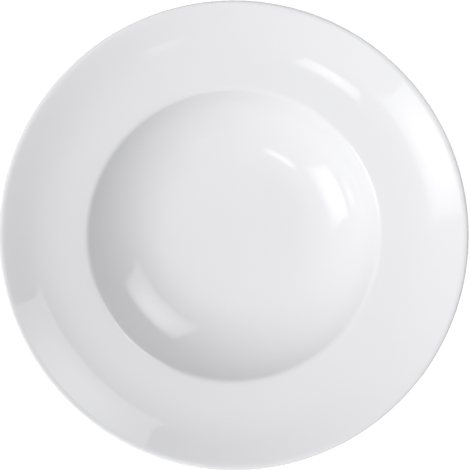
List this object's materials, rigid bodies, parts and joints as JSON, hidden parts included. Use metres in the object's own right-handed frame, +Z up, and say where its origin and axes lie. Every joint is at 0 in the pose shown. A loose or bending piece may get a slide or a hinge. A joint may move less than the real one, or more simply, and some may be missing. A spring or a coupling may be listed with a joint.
{
  "type": "rimmed soup plate",
  "caption": "Round deep plate in white glazed porcelain with a wide rising rim, a rounded lip and a bare foot ring, for serving soup or pasta.",
  "frame": {"origin": "Centre of the foot ring's seat, in the plane that the plate stands on.", "axes": "+Z is up, along the plate's axis of revolution. X and Y are level and interchangeable."},
  "size_m": [0.23, 0.23, 0.04],
  "materials": {
    "biscuit": "unglazed fired porcelain, matt, bare only on the foot ring",
    "glaze": "clear gloss glaze fired over white porcelain"
  },
  "bodies": {
    "root": {"porcelain_body": "biscuit", "glaze_coat": "glaze", "recess_glaze": "glaze"}
  },
  "joints": []
}
